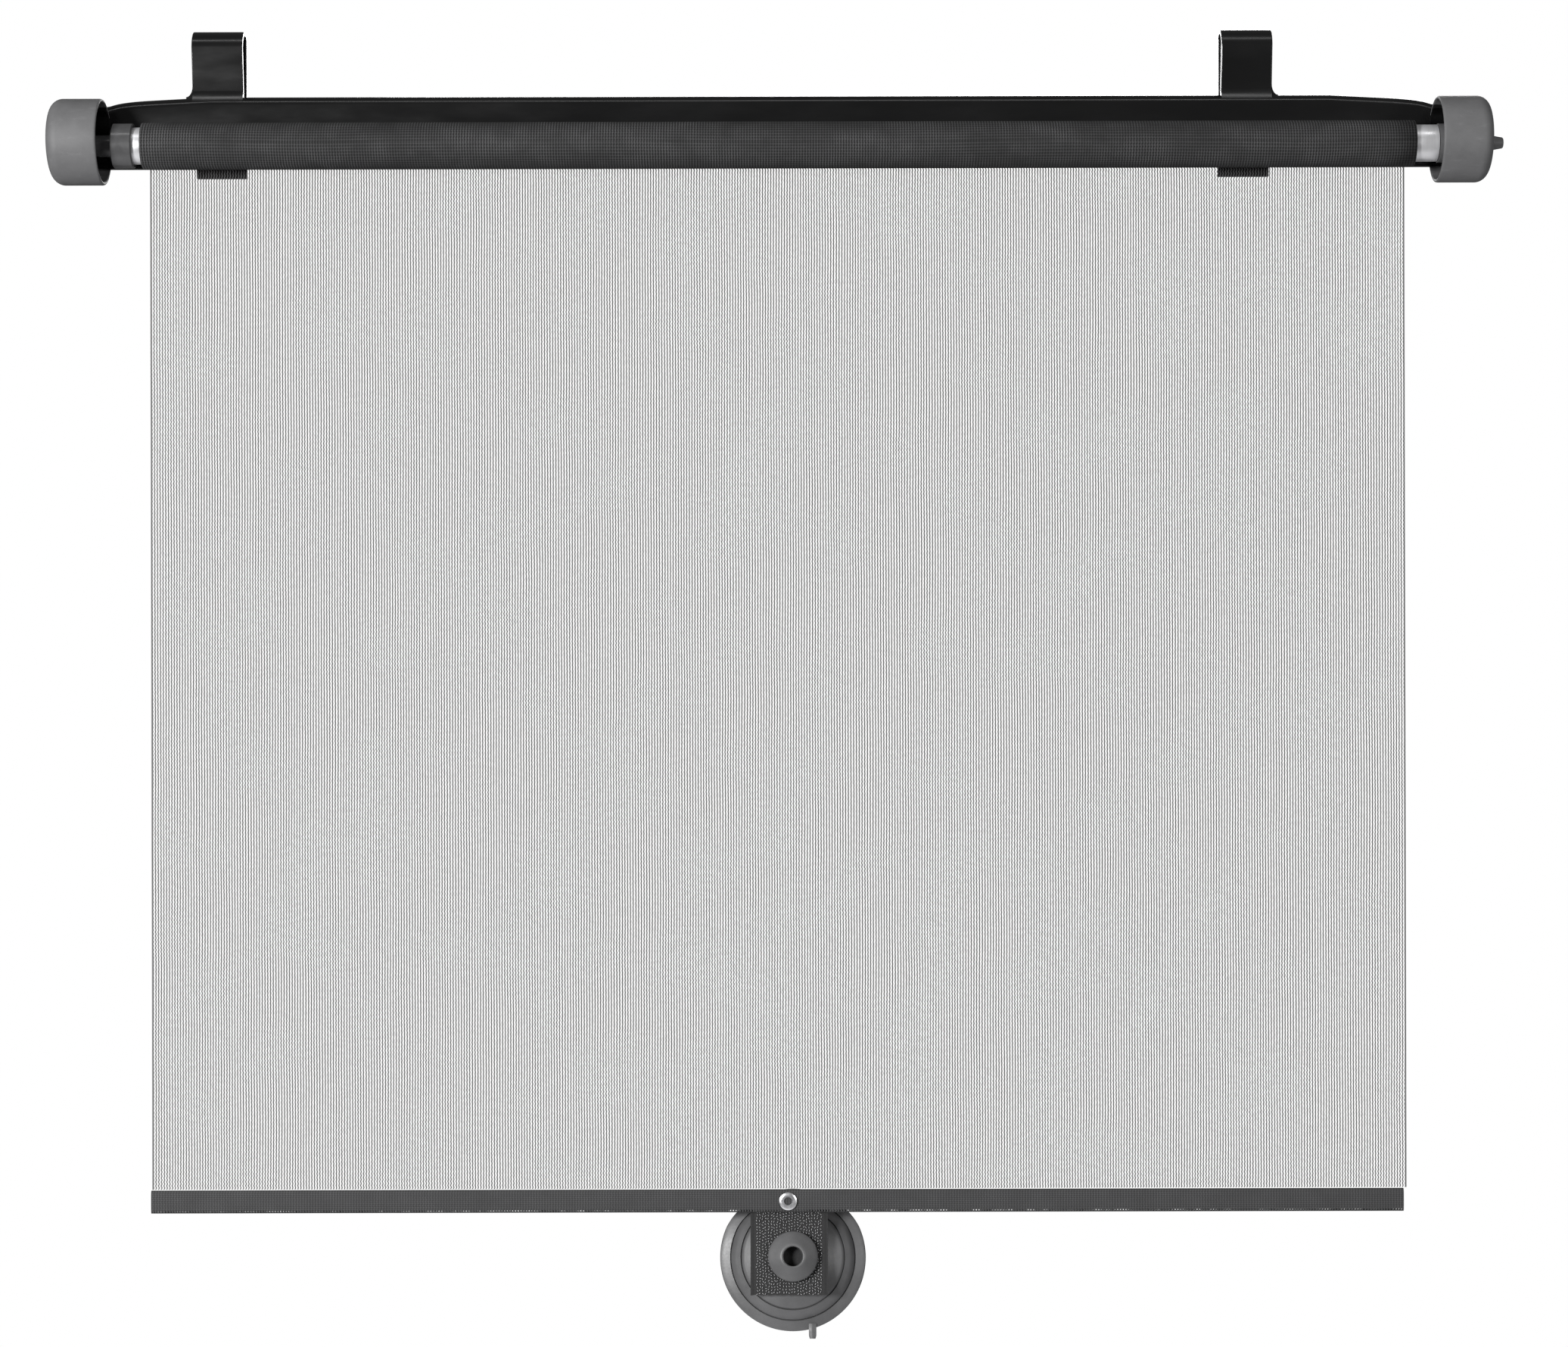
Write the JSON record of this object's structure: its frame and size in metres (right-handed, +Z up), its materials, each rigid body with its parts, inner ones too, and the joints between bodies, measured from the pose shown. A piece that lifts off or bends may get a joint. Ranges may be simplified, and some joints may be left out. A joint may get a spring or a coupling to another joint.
{
  "type": "car side window sunshade",
  "caption": "Roller sunshade for a car side window: mesh sheet on a spring roller, two hooks over the glass edge, end caps with a release button, and a suction cup at the hem.",
  "frame": {"origin": "middle of the window glass's top edge, where the two hooks sit on it", "axes": "+X along the rail towards the release button, +Y out through the glass, +Z up"},
  "size_m": [0.5707, 0.0416, 0.5194],
  "materials": {
    "gloss_black": "gloss moulded black",
    "cap_grey": "fine matt grain",
    "collar_black": "gloss",
    "bright_tube": "bright drawn tube",
    "spring_steel": "oiled wire",
    "inner_plastic": "plain moulded",
    "black_mesh": "knitted mesh, wound close",
    "grey_mesh": "open knitted mesh",
    "pile_tape": "looped pile",
    "cup_vinyl": "soft semi-gloss vinyl",
    "eyelet_steel": "bright plated"
  },
  "bodies": {
    "carrier": {"carrier_rail": "gloss_black", "end_cap_left": "cap_grey", "end_cap_right": "cap_grey", "ratchet_ring": "inner_plastic", "spring_rod": "spring_steel", "torsion_spring": "spring_steel", "shade_sheet": "grey_mesh"},
    "roller": {"roller_tube": "bright_tube", "idle_plug": "collar_black", "drive_plug": "inner_plastic", "fabric_roll": "black_mesh", "spring_anchor": "inner_plastic"},
    "clutch": {"ratchet_clutch": "inner_plastic", "clutch_spring": "spring_steel"},
    "button": {"release_button": "cap_grey"},
    "hem": {"hem_pocket": "black_mesh", "hem_bar": "inner_plastic", "eyelet": "eyelet_steel", "eyelet_washer": "eyelet_steel", "hook_strap": "pile_tape"},
    "cup": {"suction_cup": "cup_vinyl"}
  },
  "joints": [
    {"name": "shade_travel", "type": "slide", "parent": "carrier", "child": "hem", "axis": [0, 0, 1], "range_m": [0, 0.39], "deforming": ["shade_sheet"]},
    {"name": "roller_spin", "type": "hinge", "parent": "carrier", "child": "roller", "pos_m": [0, -0.01945, -0.0462], "axis": [1, 0, 0], "range_deg": [-5, 2410]},
    {"name": "clutch_slide", "type": "slide", "parent": "roller", "child": "clutch", "axis": [-1, 0, 0], "range_m": [0, 0.0025], "stiffness_N_per_m": 800},
    {"name": "release_button", "type": "slide", "parent": "carrier", "child": "button", "axis": [-1, 0, 0], "range_m": [0, 0.0025]},
    {"name": "cup_swivel", "type": "hinge", "parent": "hem", "child": "cup", "pos_m": [0.0081, -0.01062, -0.48442], "axis": [0, -0.9816, 0.1908], "continuous": true}
  ],
  "couplings": [
    {"joint": "roller_spin", "follows": "shade_travel", "rad_per_m": 107.5},
    {"joint": "release_button", "follows": "clutch_slide", "ratio": 1}
  ]
}
